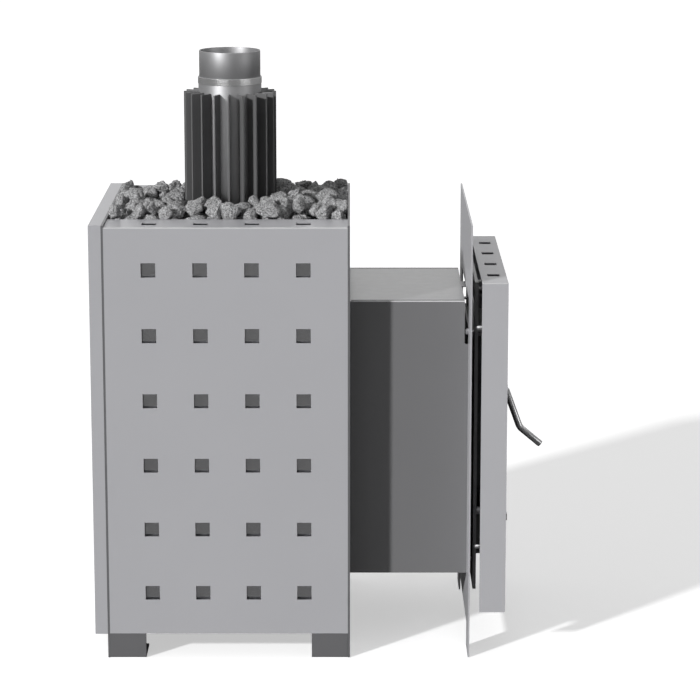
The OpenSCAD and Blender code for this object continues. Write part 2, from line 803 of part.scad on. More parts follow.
// Flat plates welded on edge to the core tube
module flue_fins()
  color([0.25, 0.25, 0.26])
    for (i = [0 : fins - 1])
      translate([mid_x, 0, bin_z])
        rotate(fin_turn + i * fin_step)
          translate([core_r, -fin_t / 2, 0]) cube([fin_r - core_r, fin_t, collector_top - bin_z]);

module flue_collar()
  color([0.45, 0.45, 0.46]) flue_tube(collector_top, collar_ht, collar_r, collar_in);

module flue_spigot()
  color([0.45, 0.45, 0.46])
    difference() {
      union() {
        flue_tube(collector_top, collar_ht + spigot_wall, spigot_r - spigot_swage, flue_hole);
        flue_tube(collector_top + collar_ht, spigot_free, spigot_r, flue_hole);
      }
      translate([mid_x, 0, collector_top + collar_ht + spigot_wall])
        cylinder(r = spigot_r - spigot_wall, h = spigot_free, $fn = 96);
    }

// The clamp's ears lie behind the flue, to the far side
module clamp_band()
  color([0.75, 0.75, 0.76])
    translate([mid_x, 0, band_z]) rotate(ear_turn)
      difference() {
        linear_extrude(band_h)
          difference() {
            union() {
              circle(r = band_r, $fn = 96);
              translate([0, -ear_gap / 2 - ear_t]) square([band_r + ear_len, ear_gap + 2 * ear_t]);
            }
            circle(r = band_in, $fn = 96);
            translate([0, -ear_gap / 2]) square([band_r + ear_len + over, ear_gap]);
          }
        translate([band_r + ear_len / 2, 0, band_h / 2]) rotate([90, 0, 0])
          cylinder(r = bolt_r + run, h = ear_gap + 2 * ear_t + 2 * over, center = true);
      }

module clamp_bolt()
  color([0.8, 0.8, 0.8])
    translate([mid_x, 0, band_z]) rotate(ear_turn)
      translate([band_r + ear_len / 2, ear_gap / 2 + ear_t, band_h / 2]) rotate([90, 0, 0]) {
        translate([0, 0, -head_h]) cylinder(r = head_r, h = head_h, $fn = 6);
        cylinder(r = bolt_r, h = ear_gap + 2 * ear_t + head_h);
        translate([0, 0, ear_gap + 2 * ear_t]) cylinder(r = head_r, h = head_h, $fn = 6);
      }

module tunnel_shroud()
  color([0.42, 0.42, 0.43]) {
    span([wall_x - shroud_short, wall_face], [-tab_w / 2, tab_w / 2],
      [shroud_top - sheet_t, shroud_top]);
    difference() {
      span([front_x, wall_x], [-shroud_half, shroud_half], [shroud_z, shroud_top]);
      span([front_x - over, wall_x + over], [-shroud_half + sheet_t, shroud_half - sheet_t],
        [shroud_z + sheet_t, shroud_top - sheet_t]);
      span([wall_x - shroud_short, wall_x + over], [-shroud_half - over, shroud_half + over],
        [notch_z + shroud_short / 2, shroud_top + over]);
      for (side = [-1, 1])
        translate([wall_x - shroud_short / 2, side * shroud_half,
          notch_z + shroud_short / 2])
          rotate([90, 0, 0])
            cylinder(r = shroud_short / 2, h = 2 * (sheet_t + over), center = true);
    }
  }

module fuel_duct()
  color([0.3, 0.3, 0.31])
    ring_x([fb_front, portal_x], duct_half, [ash_floor, duct_in_top], duct_t);

module duct_shelf()
  color([0.3, 0.3, 0.31])
    span([fb_front, portal_x], [-duct_half, duct_half], [shelf_z, fire_z]);

module wall_plate()
  color([0.66, 0.66, 0.67])
    difference() {
      legged_plate(wall_x, wall_t);
      span([wall_x - over, wall_face + over], [-shroud_half, shroud_half],
        [window_z, window_z + window_h]);
      span([wall_x - over, wall_face + over], [-duct_half - duct_t - duct_clear,
        duct_half + duct_t + duct_clear], [duct_z - duct_clear, duct_top + duct_clear]);
      for (p = tie_places)
        bar_x([wall_x - over, wall_face + over], tie_r + run, p[0], p[1]);
    }

// Studs on the portal plate that pass the wall plate, each with its nut behind
module wall_plate_studs()
  color([0.5, 0.5, 0.5])
    for (p = tie_places)
      translate([0, p[0], p[1]]) {
        bar_x([wall_x - nut_h, portal_x], tie_r);
        nut_x(wall_x - nut_h, nut_af, nut_h);
      }

module portal_plate()
  color([0.26, 0.26, 0.27])
    difference() {
      span([portal_x, portal_face], [-portal_half, portal_half],
        [portal_z, portal_top]);
      span([portal_x - over, portal_face + over], [-mouth_w / 2, mouth_w / 2],
        [mouth_z, mouth_z + mouth_h]);
      span([portal_x - over, portal_face + over], [-duct_half, duct_half],
        [ash_floor, shelf_z]);
      standoff_places() bar_x([portal_x - over, portal_face + over], bolt_r + run);
    }

module mouth_collar()
  color([0.26, 0.26, 0.27])
    ring_x([portal_face, mouth_end], mouth_w / 2, [mouth_z, mouth_z + mouth_h], mouth_t);

module latch_catch()
  color([0.5, 0.5, 0.5])
    span([catch_x, mouth_end], [-mouth_w / 2, -mouth_w / 2 + catch_w],
      [shaft_z - catch_h / 2, shaft_z + catch_h / 2]);

// Places of the tubes and bolts that carry the screen
module standoff_places()
  both_sides()
    for (j = [-3 / 2, 3 / 2])
      translate([0, portal_half - standoff_in, pane_z + j * vent_pitch_z]) children();

// Folded box, open at the back, with cut-outs for the door and the drawer
module front_screen()
  color([0.66, 0.66, 0.67])
    difference() {
      span([back_x, face_x], [-half_w, half_w], [screen_z, screen_top]);
      span([back_x - over, face_x - sheet_t], [-half_w + sheet_t, half_w - sheet_t],
        [screen_z - over, screen_top - sheet_t]);
      span([back_x, face_x + over], [-leaf_half - door_gap, leaf_half + door_gap],
        [leaf_z0 - door_gap, leaf_z1 + door_gap]);
      span([back_x, face_x + over], [-duct_half, duct_half], [ash_floor - tray_clear, front_in_z]);
      for (i = [0 : 3]) {
        vent_y = (i - 3 / 2) * vent_pitch_y;
        translate([(back_x + face_x) / 2, vent_y, screen_top])
          cube([vent_s, vent_s, 2 * (sheet_t + over)], center = true);
        translate([face_x, vent_y, pane_z + 2 * vent_pitch_z])
          cube([2 * (sheet_t + over), vent_s, vent_s], center = true);
      }
      both_sides()
        for (j = [-2 : 2])
          translate([face_x, 3 / 2 * vent_pitch_y, pane_z + j * vent_pitch_z])
            cube([2 * (sheet_t + over), vent_s, vent_s], center = true);
      standoff_places() bar_x([face_x - sheet_t - over, face_x + over], bolt_r + run);
    }

// Studs with rounded ends, welded inside the screen's face
module screen_studs()
  color([0.9, 0.9, 0.9])
    both_sides()
      for (z = [stud_z, stud_z + stud_pitch]) {
        bar_x([back_x - stud_reach + stud_r, face_x - sheet_t], stud_r, half_w - stud_in, z);
        translate([back_x - stud_reach + stud_r, half_w - stud_in, z]) sphere(r = stud_r);
      }

module screen_standoffs()
  color([0.5, 0.5, 0.5])
    standoff_places()
      difference() {
        bar_x([portal_face, face_x - sheet_t], standoff_r);
        bar_x([portal_face - over, face_x], bolt_r + run);
      }

// Bolts through the screen's face and the tubes into the tapped portal plate
module screen_bolts()
  color([0.75, 0.75, 0.76])
    standoff_places() screw_x(face_x, 1, bolt_r, face_x - portal_x);

module door_leaf()
  color([0.26, 0.26, 0.27])
    difference() {
      span([leaf_x0, leaf_x1], [-leaf_half, leaf_half], [leaf_z0, leaf_z1]);
      span([leaf_x0 - over, leaf_x1 - face_t], [-leaf_half + rim_t, leaf_half - rim_t],
        [leaf_z0 + rim_t, leaf_z1 - rim_t]);
      span([leaf_x0, leaf_x1 + over], [-pane_half, pane_half],
        [pane_z - pane_rise, pane_z + pane_rise]);
      bar_x([leaf_x0, leaf_x1 + over], hub_r, -shaft_y, shaft_z);
    }

module door_backing()
  color([0.5, 0.5, 0.5])
    difference() {
      span([leaf_x0, leaf_x0 + backing_t], [-leaf_half + rim_t, leaf_half - rim_t],
        [leaf_z0 + rim_t, leaf_z1 - rim_t]);
      span([leaf_x0 - over, leaf_x1], [-pane_half, pane_half],
        [pane_z - pane_rise, pane_z + pane_rise]);
      bar_x([leaf_x0 - over, leaf_x1], hub_r, -shaft_y, shaft_z);
    }

module door_glass()
  color([0.1, 0.1, 0.1, 0.6])
    span([glass_x - pane_t, glass_x], [-pane_half - pane_lap, pane_half + pane_lap],
      [pane_z - pane_rise - pane_lap, pane_z + pane_rise + pane_lap]);

// Frame that presses the glass against the face, filling the depth to the inner plate
module glass_retainer()
  color([0.5, 0.5, 0.5])
    difference() {
      ring_x([leaf_x0 + backing_t, glass_x - pane_t - fit], pane_half,
        [pane_z - pane_rise, pane_z + pane_rise], retainer_w);
      ring_x([leaf_x0 + backing_t + retainer_t, glass_x], pane_half + retainer_t,
        [pane_z - pane_rise - retainer_t, pane_z + pane_rise + retainer_t], retainer_w);
    }

// The rope lies on the inner plate, face to face with the mouth collar's edge
module door_gasket()
  color([0.75, 0.74, 0.7])
    ring_x([mouth_end + fit, leaf_x0], mouth_w / 2 + mouth_t / 2 - gasket_w / 2,
      [mouth_z - mouth_t / 2 + gasket_w / 2, mouth_z + mouth_h + mouth_t / 2 - gasket_w / 2],
      gasket_w);

// One knuckle round the hinge axis
module knuckle(z)
  translate([hinge_x, hinge_y, z]) cylinder(r = knuckle_r, h = knuckle_len);

module hinge_bores(z)
  translate([hinge_x, hinge_y, z - over]) cylinder(r = pin_r + run, h = knuckle_len + 2 * over);

// Fixed knuckles, each on a foot welded to the screen's face
module hinge_lugs()
  color([0.3, 0.3, 0.31])
    for (z = hinge_rows)
      difference() {
        union() {
          knuckle(z - knuckle_len);
          span([face_x, hinge_x], [hinge_y, hinge_y + knuckle_r], [z - knuckle_len, z]);
          span([face_x, face_x + face_t], [hinge_y, hinge_y + 3 * knuckle_r], [z - knuckle_len, z]);
        }
        hinge_bores(z - knuckle_len);
      }

// Moving knuckles, each on a strap welded to the leaf's face
module door_knuckles()
  color([0.3, 0.3, 0.31])
    for (z = hinge_rows)
      translate([0, 0, run])
        difference() {
          union() {
            knuckle(z);
            span([leaf_x1, hinge_x], [hinge_y - knuckle_r, hinge_y], [z, z + knuckle_len]);
            span([leaf_x1, leaf_x1 + face_t], [leaf_half - 4 * knuckle_r, hinge_y],
              [z, z + knuckle_len]);
          }
          hinge_bores(z);
        }

module hinge_pins()
  color([0.75, 0.75, 0.76])
    for (z = hinge_rows)
      translate([hinge_x, hinge_y, z - knuckle_len]) {
        cylinder(r = pin_r, h = 2 * knuckle_len + head_h);
        translate([0, 0, -head_h]) cylinder(r = pin_r + head_h / 2, h = head_h);
      }

// Flanged bush in which the handle's shaft turns
module handle_bushing()
  color([0.6, 0.6, 0.6])
    translate([0, -shaft_y, shaft_z])
      difference() {
        bar_x([leaf_x0, leaf_x1], hub_r);
        bar_x([leaf_x0 - over, leaf_x1 + over], rod_r + run);
      }

// A round rod between two points in the plane of the handle
module rod(p, q)
  let (dx = q[0] - p[0], dz = q[1] - p[1])
  translate([p[0], 0, p[1]]) rotate([0, atan2(dx, dz), 0])
    cylinder(r = rod_r, h = norm([dx, dz]));

module door_handle()
  color([0.35, 0.35, 0.36])
    translate([0, -shaft_y, shaft_z]) {
      hub_x = leaf_x1 + run;
      bend = [front_x + rod_start_x + rod_x1, -rod_z1];
      bar_x([tongue_x + tongue_t, hub_x + over], rod_r);
      bar_x([tongue_x - nut_h, leaf_x0], tail_r);
      bar_x([hub_x, hub_x + hub_len], hub_r);
      difference() {
        rod([front_x + rod_start_x, 0], bend);
        span([leaf_x0, hub_x], [-hub_r, hub_r], [-hub_r, hub_r]);
      }
      translate([bend[0], 0, bend[1]]) sphere(r = rod_r);
      rod(bend, [front_x + rod_end_x, -rod_z1 - rod_z2]);
    }

// The tongue hangs clear of the catch at rest and turns behind it
module latch_tongue()
  color([0.6, 0.6, 0.6])
    translate([0, -shaft_y, shaft_z])
      difference() {
        span([tongue_x, tongue_x + tongue_t], [-tongue_w / 2, tongue_w / 2],
          [-tongue_len, tongue_w / 2]);
        bar_x([tongue_x - over, tongue_x + tongue_t + over], tail_r + run);
      }

module latch_nut()
  color([0.75, 0.75, 0.76])
    translate([0, -shaft_y, shaft_z])
      difference() {
        nut_x(tongue_x - nut_h, nut_af, nut_h);
        bar_x([tongue_x - nut_h - over, tongue_x + over], tail_r + run);
      }

module ash_tray()
  color([0.35, 0.35, 0.36])
    difference() {
      span([drawer_face - tray_len, drawer_face], [-tray_half, tray_half], [tray_z, tray_z + tray_h]);
      span([drawer_face - tray_len + tray_t, drawer_face + over], [-tray_half + tray_t,
        tray_half - tray_t], [tray_z + tray_t, tray_z + tray_h + over]);
    }

module drawer_front()
  color([0.66, 0.66, 0.67])
    span([drawer_face, drawer_face + front_t], [-duct_half - front_lap, duct_half + front_lap],
      [ash_floor - tray_clear - front_lap, front_in_z + front_lap]);

// A folded lip under which the fingers go
module drawer_pull()
  color([0.35, 0.35, 0.36])
    translate([drawer_face + front_t, 0, (ash_floor + shelf_z) / 2]) {
      span([0, pull_d], [-pull_w / 2, pull_w / 2], [0, pull_t]);
      span([pull_d - pull_t, pull_d], [-pull_w / 2, pull_w / 2], [-pull_d, pull_t]);
    }

front_plate();
rear_plate();
side_panel_near();
side_panel_far();
inner_shield_near();
inner_shield_far();
floor_shield();
feet();
rear_shield();
shield_spacers();
shield_bolts();
panel_screws();
base_rails();
firebox_body();
firebox_roof();
hearth_plate();
fire_grate();
firebox_liners();
baffle_bars();
flame_baffle();
stone_bin();
lower_stones();
upper_stones();
flue_collector();
flue_fins();
flue_collar();
flue_spigot();
clamp_band();
clamp_bolt();
tunnel_shroud();
fuel_duct();
duct_shelf();
wall_plate();
wall_plate_studs();
portal_plate();
mouth_collar();
latch_catch();
front_screen();
screen_studs();
screen_standoffs();
screen_bolts();
door_leaf();
door_backing();
door_glass();
glass_retainer();
door_gasket();
hinge_lugs();
door_knuckles();
hinge_pins();
handle_bushing();
door_handle();
latch_tongue();
latch_nut();
ash_tray();
drawer_front();
drawer_pull();
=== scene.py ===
# %% [markdown]
# # A wood-burning sauna heater with a tunnel through the wall
#
# The heater stands in the sauna. A perforated casing surrounds a welded firebox, and a bin of
# stones lies on the firebox's roof. The flue rises through the stones with twenty welded fins,
# which give them more surface to take heat from. A tunnel leads through the wall to the next room,
# where the fuel door and the ash drawer sit in a screen.
#
# The CAD frame already holds every part at its real size. This lesson dresses it: folded sheets
# get their bend radii, the stones become broken rock, and each surface gets its paint or metal.

# %% Load the frame
import itertools
import json
import math

import bmesh
import bpy
import numpy as np
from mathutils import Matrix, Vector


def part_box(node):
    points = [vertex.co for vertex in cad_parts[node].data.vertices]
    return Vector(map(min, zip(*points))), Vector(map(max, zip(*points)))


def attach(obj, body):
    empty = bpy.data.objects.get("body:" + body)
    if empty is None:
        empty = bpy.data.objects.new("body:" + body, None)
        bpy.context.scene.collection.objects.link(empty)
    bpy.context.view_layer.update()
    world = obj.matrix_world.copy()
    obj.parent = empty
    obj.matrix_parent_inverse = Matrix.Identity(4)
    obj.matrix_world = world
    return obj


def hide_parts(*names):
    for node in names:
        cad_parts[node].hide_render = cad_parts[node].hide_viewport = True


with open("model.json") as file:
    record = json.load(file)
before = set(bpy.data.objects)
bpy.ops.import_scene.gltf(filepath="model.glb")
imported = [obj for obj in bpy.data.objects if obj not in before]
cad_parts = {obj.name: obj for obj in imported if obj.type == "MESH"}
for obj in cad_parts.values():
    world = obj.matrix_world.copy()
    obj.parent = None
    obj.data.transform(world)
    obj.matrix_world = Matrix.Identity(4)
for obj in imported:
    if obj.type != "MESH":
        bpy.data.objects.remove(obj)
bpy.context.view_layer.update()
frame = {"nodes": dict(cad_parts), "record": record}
record = frame["record"]
body_of_node = {n: body for body, members in record["behaviour"]["bodies"].items() for n in members}
slot_of_node = {part["node"]: part["material_slot"] for part in record["subparts"]}
mm = 0.001

# %% [markdown]
# ## The camera first
#
# The photograph was taken square on to the casing's side, from 5 m away and a little above. A
# camera fitted to the corners of the square holes gives its height, distance, tilt and lens. It
# stands level with the casing's front face, so that face is seen exactly edge on.

# %% Camera
casing_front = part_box("front_plate")[1].x
near_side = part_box("front_plate")[0].y
camera_distance = 4.974
camera_height = 1.635
camera_tilt = math.radians(12.03)
sensor_width = 36
lens = 146.35
farthest = 90

camera_data = bpy.data.cameras.new("camera")
camera_data.sensor_width = sensor_width
camera_data.lens = lens
camera_data.clip_end = farthest
camera = bpy.data.objects.new("camera", camera_data)
camera.location = (casing_front, near_side - camera_distance, camera_height)
camera.rotation_euler = (math.pi / 2 - camera_tilt, 0, 0)
bpy.context.scene.collection.objects.link(camera)
bpy.context.scene.camera = camera
print("camera at", [round(v, 3) for v in camera.location])

# %% [markdown]
# ## Light and background
#
# The picture has a white ground and one strong lamp from the left front: the casing's near edge
# throws a sharp vertical shadow on the tunnel. Area lamps could give that light, but their
# strength falls with distance. A sun lights every piece alike, and a pale world fills its
# shadows. The world is white to the camera. Reflections see a studio: a white backdrop behind the
# heater, a lamp overhead, and two round soft lamps in front, which draw the two bright bands on
# the clamp. Each level of the studio changes smoothly between the two edges given for it.

# %% Levels of the light
scene = bpy.context.scene
scene.view_settings.view_transform = "Standard"
key_travel = (0.92, 1.0, -0.55)
key_strength = 3.05
key_softness = math.radians(3.5)
shade_level, sky_level = 0.24, 0.29
fill_left = 0.4
backdrop_white = 0.82
room_grey = 0.28
lamp_white = 3.4
lamp_azimuths = (-25, 61)
overhead_white = 2.4
backdrop_edge, lamp_edge, overhead_edge = (-0.05, 0.25), (0.93, 0.97), (0.5, 0.8)

world = bpy.data.worlds.new("studio")
scene.world = world
world.use_nodes = True
tree = world.node_tree
tree.nodes.clear()

# %% Nodes of the world


def feed(tree, socket, value):
    """Sets a socket to a number, or links another socket to it."""
    if isinstance(value, (int, float)):
        socket.default_value = value
    else:
        tree.links.new(value, socket)


def math_node(tree, operation, a, b):
    """A math node. Each of a and b is a number or a socket."""
    node = tree.nodes.new("ShaderNodeMath")
    node.operation = operation
    feed(tree, node.inputs[0], a)
    feed(tree, node.inputs[1], b)
    return node.outputs[0]


def smooth_step(tree, value, start, end, low, high):
    """Rises smoothly from low to high while value goes from start to end."""
    node = tree.nodes.new("ShaderNodeMapRange")
    node.interpolation_type = "SMOOTHSTEP"
    for label, number in zip(("From Min", "From Max", "To Min", "To Max"), (start, end, low, high)):
        node.inputs[label].default_value = number
    tree.links.new(value, node.inputs["Value"])
    return node.outputs[0]


def background(tree, strength):
    """A white background shader with a number or a socket as its strength."""
    node = tree.nodes.new("ShaderNodeBackground")
    feed(tree, node.inputs["Strength"], strength)
    node.inputs["Color"].default_value = (1, 1, 1, 1)
    return node.outputs[0]


def choose(tree, factor, plain, special):
    """Shows the special shader where the factor is 1."""
    node = tree.nodes.new("ShaderNodeMixShader")
    for socket, source in zip(node.inputs, (factor, plain, special)):
        tree.links.new(source, socket)
    return node.outputs[0]


# %% The studio, and the fill
look = tree.nodes.new("ShaderNodeSeparateXYZ")
tree.links.new(tree.nodes.new("ShaderNodeTexCoord").outputs["Generated"], look.inputs[0])
ahead, up = look.outputs[1], look.outputs[2]
studio = smooth_step(tree, ahead, *backdrop_edge, room_grey, backdrop_white)
for azimuth in lamp_azimuths:
    aside, forward = math.sin(math.radians(azimuth)), -math.cos(math.radians(azimuth))
    toward = math_node(tree, "ADD", math_node(tree, "MULTIPLY", look.outputs[0], aside),
                       math_node(tree, "MULTIPLY", ahead, forward))
    studio = math_node(tree, "ADD", studio, smooth_step(tree, toward, *lamp_edge, 0, lamp_white))
studio = math_node(tree, "ADD", studio, smooth_step(tree, up, *overhead_edge, 0, overhead_white))
leftness = math_node(tree, "ADD", 1, math_node(tree, "MULTIPLY", look.outputs[0], -fill_left))
fill = math_node(tree, "MULTIPLY", smooth_step(tree, up, 0, 1, shade_level, sky_level), leftness)
rays = tree.nodes.new("ShaderNodeLightPath")
lit = choose(tree, rays.outputs["Is Glossy Ray"], background(tree, fill), background(tree, studio))
for white_ray in ("Is Transmission Ray", "Is Camera Ray"):
    lit = choose(tree, rays.outputs[white_ray], lit, background(tree, 1.0))
out = tree.nodes.new("ShaderNodeOutputWorld")
tree.links.new(lit, out.inputs[0])


# %% The sun
def sun(name, travel, strength, softness):
    """A sun whose light travels along the vector travel; softness is its angle in radians."""
    data = bpy.data.lights.new(name, "SUN")
    data.energy = strength
    data.angle = softness
    piece = bpy.data.objects.new(name, data)
    down = math.acos(-travel[2] / math.hypot(*travel))
    piece.rotation_euler = (0, down, math.atan2(travel[1], travel[0]) + math.pi)
    scene.collection.objects.link(piece)


sun("key", key_travel, key_strength, key_softness)
print("sun strength", key_strength, "fill", shade_level, "to", sky_level)

# %% [markdown]
# ## Round pieces
#
# Pipes and bars are round all along. Blender's curves can make them, but a grid of points gives
# full control over the ends: a ring of points carried along a path, or a profile turned round an
# axis. Whole arrays of points and faces go into the mesh at once.

# %% Mesh helpers


def link_mesh(name, points, faces, smooth_angle=40):
    """Makes a mesh object from an array of points and a list or array of faces."""
    mesh = bpy.data.meshes.new(name)
    mesh.from_pydata(np.asarray(points).tolist(), [], [list(f) for f in faces])
    mesh.update()
    piece = bpy.data.objects.new(name, mesh)
    scene.collection.objects.link(piece)
    soften(piece, smooth_angle)
    return piece


def soften(piece, smooth_angle):
    """Shades smooth, but keeps edges sharper than the angle, in degrees, as edges."""
    mesh = piece.data
    mesh.polygons.foreach_set("use_smooth", np.ones(len(mesh.polygons), bool))
    mesh.set_sharp_from_angle(angle=math.radians(smooth_angle))


def grid_faces(rows, cols, close_rows=False, close_cols=True):
    """Quads of a grid of points numbered row by row; a closed direction joins its last line to its
    first."""
    r = np.arange(rows if close_rows else rows - 1)[:, None]
    c = np.arange(cols if close_cols else cols - 1)[None, :]
    r2, c2 = (r + 1) % rows, (c + 1) % cols
    quads = np.stack([r * cols + c, r * cols + c2, r2 * cols + c2, r2 * cols + c], axis=-1)
    return quads.reshape(-1, 4)


def fillet(corners, radius, steps=8):
    """Rounds a path's inner corners. Each becomes an arc of the radius that touches both its runs:
    centre + (start sin((1 - t) sweep) + end sin(t sweep)) / sin(sweep), for t from 0 to 1."""
    corners = [np.array(c, float) for c in corners]
    path = [corners[0]]
    for before, here, after in zip(corners, corners[1:], corners[2:]):
        a = (before - here) / np.linalg.norm(before - here)
        b = (after - here) / np.linalg.norm(after - here)
        half = math.acos(float(np.clip(a @ b, -1, 1))) / 2
        centre = here + (a + b) / np.linalg.norm(a + b) * radius / math.sin(half)
        start = here + a * radius / math.tan(half) - centre
        end = here + b * radius / math.tan(half) - centre
        sweep = math.acos(float(np.clip(start @ end / radius ** 2, -1, 1)))
        t = np.linspace(0, 1, steps + 1)[:, None]
        arc = start * np.sin((1 - t) * sweep) + end * np.sin(t * sweep)
        path.extend(centre + arc / math.sin(sweep))
    path.append(corners[-1])
    return np.array(path)


def tube(name, path, radii, side, count=32):
    """A round bar along a flat path. Around each point lies a ring: point + r (cos a n + sin a s),
    where s, the side, is the normal of the path's plane, and n lies in it, square to the path."""
    path, radii, side = np.array(path), np.array(radii, float), np.array(side, float)
    along = np.gradient(path, axis=0)
    along /= np.linalg.norm(along, axis=1)[:, None]
    across = np.cross(side, along)
    angle = np.arange(count) * 2 * math.pi / count
    ring = np.cos(angle)[None, :, None] * across[:, None] + np.sin(angle)[None, :, None] * side
    points = (path[:, None] + radii[:, None, None] * ring).reshape(-1, 3)
    faces = grid_faces(len(path), count).tolist()
    faces += [list(range(count))[::-1], list(range((len(path) - 1) * count, len(path) * count))]
    piece = link_mesh(name, points, faces)
    turn_outwards(piece)
    return piece


def turned(name, profile, centre, count=128):
    """Turns a closed profile of (radius, height) points round an upright axis through centre:
    x = r cos a, y = r sin a. The profile goes all round a wall's section and needs no caps."""
    profile = np.array(profile, float)
    angle = np.arange(count) * 2 * math.pi / count
    height = np.repeat(profile[:, 1:], count, axis=1)
    radius = profile[:, :1]
    points = np.stack((radius * np.cos(angle), radius * np.sin(angle), height), axis=-1)
    piece = link_mesh(name, points.reshape(-1, 3) + np.array(centre),
                      grid_faces(len(profile), count, close_rows=True))
    turn_outwards(piece)
    return piece


def turn_outwards(piece):
    """Recalculates the faces' directions so that they all point outwards."""
    bm = bmesh.new()
    bm.from_mesh(piece.data)
    bmesh.ops.recalc_face_normals(bm, faces=bm.faces)
    bm.to_mesh(piece.data)
    bm.free()


# %% [markdown]
# ## Sheet pieces
#
# Almost everything else is folded or cut sheet. Modelled with knife-sharp edges it would look like
# paper, because real edges catch the light. A Bevel modifier would round all edges alike, so each
# CAD node's mesh is copied instead, its folds get a wide bevel and its cut edges a small one.

# %% Dressing a CAD node
corner_angle = math.radians(35)
flat_angle = math.radians(1)
same_point = 0.001 * mm
dressed = set()


def dress(piece, nodes, material):
    """Puts a new piece in the place of CAD nodes: same body, with its own material."""
    piece.data.materials.append(material)
    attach(piece, body_of_node[nodes[0]])
    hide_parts(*nodes)
    dressed.update(nodes)


def box_points(low, high):
    """The eight corners and six faces of a box."""
    points = list(itertools.product(*zip(low, high)))
    faces = [(0, 1, 3, 2), (4, 6, 7, 5), (0, 4, 5, 1), (2, 3, 7, 6), (0, 2, 6, 4), (1, 5, 7, 3)]
    return points, faces


def cut_away(mesh, boxes):
    """A copy of the mesh without what lies in the boxes, each given by its low and high corner."""
    body = bpy.data.objects.new("cut body", mesh)
    scene.collection.objects.link(body)
    cutters = []
    for low, high in boxes:
        cutter = bpy.data.meshes.new("cutter")
        points, faces = box_points(low, high)
        cutter.from_pydata(points, [], faces)
        piece = bpy.data.objects.new("cutter", cutter)
        scene.collection.objects.link(piece)
        turn_outwards(piece)
        cut = body.modifiers.new("cut", "BOOLEAN")
        cut.object = piece
        cutters.append(piece)
    bpy.context.view_layer.update()
    seen = body.evaluated_get(bpy.context.evaluated_depsgraph_get())
    result = bpy.data.meshes.new_from_object(seen)
    for piece in cutters + [body]:
        bpy.data.objects.remove(piece)
    return result


def is_corner(edge):
    """True for an edge between two faces whose directions differ by more than the corner angle."""
    return len(edge.link_faces) == 2 and edge.calc_face_angle(0) > corner_angle


def round_off(bm, edges, radius, segments, clamp=False):
    """Bevels the edges into arcs of the radius, and returns the new faces."""
    return bmesh.ops.bevel(bm, geom=edges, offset=radius, segments=segments, profile=0.5,
                           affect="EDGES", clamp_overlap=clamp)["faces"]


def formed(node, material, bends=(), edge=0.4 * mm, cuts=(), bend_highlight=None):
    """A copy of a CAD node with real edges. Each bend is (test of an edge's middle point, radius);
    the edges that pass get that radius, and all the others a small one, as cut and deburred sheet
    has. The bend highlight material, if there is one, goes on the bends alone: a lighter paint
    there is a painted highlight."""
    source = frame["nodes"][node].data
    bm = bmesh.new()
    bm.from_mesh(cut_away(source, cuts) if cuts else source)
    bmesh.ops.remove_doubles(bm, verts=bm.verts, dist=same_point)
    bmesh.ops.dissolve_limit(bm, angle_limit=flat_angle, verts=bm.verts, edges=bm.edges)
    for test, radius in bends:
        found = [e for e in bm.edges if is_corner(e) and test((e.verts[0].co + e.verts[1].co) / 2)]
        # The bend faces take the second material, a painted highlight.
        for face in round_off(bm, found, radius, 4):
            face.material_index = 1 if bend_highlight else 0
    round_off(bm, [e for e in bm.edges if is_corner(e)], edge, 2, clamp=True)
    mesh = bpy.data.meshes.new(node + "_formed")
    bm.to_mesh(mesh)
    bm.free()
    piece = bpy.data.objects.new(mesh.name, mesh)
    scene.collection.objects.link(piece)
    soften(piece, 50)
    weigh = piece.modifiers.new("weighted normals", "WEIGHTED_NORMAL")
    weigh.keep_sharp = True
    dress(piece, [node], material)
    if bend_highlight:
        piece.data.materials.append(bend_highlight)


# %% [markdown]
# ## Shader groups
#
# Baked paint is never quite even: its colour has faint clouds, its skin a fine orange peel. Rolled
# or drawn steel has streaks along one direction. Images could show both, but noise has no seams
# and no resolution. Several finishes share these effects, so each is a node group with named
# inputs. Both read Object coordinates, which are metres in the frame.

# %% Shader helpers


def node_group(name, inputs, outputs):
    """An empty shader group. Inputs are (name, default) and outputs are (name, kind)."""
    group = bpy.data.node_groups.new(name, "ShaderNodeTree")
    for label, default in inputs:
        socket = group.interface.new_socket(label, in_out="INPUT", socket_type="NodeSocketFloat")
        socket.default_value = default
    for label, kind in outputs:
        group.interface.new_socket(label, in_out="OUTPUT", socket_type="NodeSocket" + kind)
    start = group.nodes.new("NodeGroupInput")
    end = group.nodes.new("NodeGroupOutput")
    return group, start, end


def noise_node(tree, vector, scale, detail=3, roughness=0.5):
    """A noise texture; scale is a number or a socket."""
    node = tree.nodes.new("ShaderNodeTexNoise")
    node.inputs["Detail"].default_value = detail
    node.inputs["Roughness"].default_value = roughness
    tree.links.new(vector, node.inputs["Vector"])
    feed(tree, node.inputs["Scale"], scale)
    return node.outputs["Fac"]


def object_coordinates(tree):
    """Places on the piece in metres."""
    return tree.nodes.new("ShaderNodeTexCoord").outputs["Object"]


def shade_about_one(tree, pattern, depth):
    """1 + (pattern - 0.5) * depth, a factor for a colour."""
    swing = math_node(tree, "MULTIPLY", math_node(tree, "SUBTRACT", pattern, 0.5), depth)
    return math_node(tree, "ADD", swing, 1)


# %% Paint film: faint clouds in the colour and orange peel in the surface
paint_film, start, end = node_group(
    "paint film",
    [("Cloud scale", 7), ("Cloud depth", 0.05), ("Peel scale", 900), ("Patch scale", 55)],
    [("Shade", "Float"), ("Peel", "Float"), ("Patch", "Float")])
at = object_coordinates(paint_film)
cloud = noise_node(paint_film, at, start.outputs["Cloud scale"], 4)
shade = shade_about_one(paint_film, cloud, start.outputs["Cloud depth"])
peel = noise_node(paint_film, at, start.outputs["Peel scale"], 2)
patch = noise_node(paint_film, at, start.outputs["Patch scale"], 3)
for label, value in (("Shade", shade), ("Peel", peel), ("Patch", patch)):
    paint_film.links.new(value, end.inputs[label])

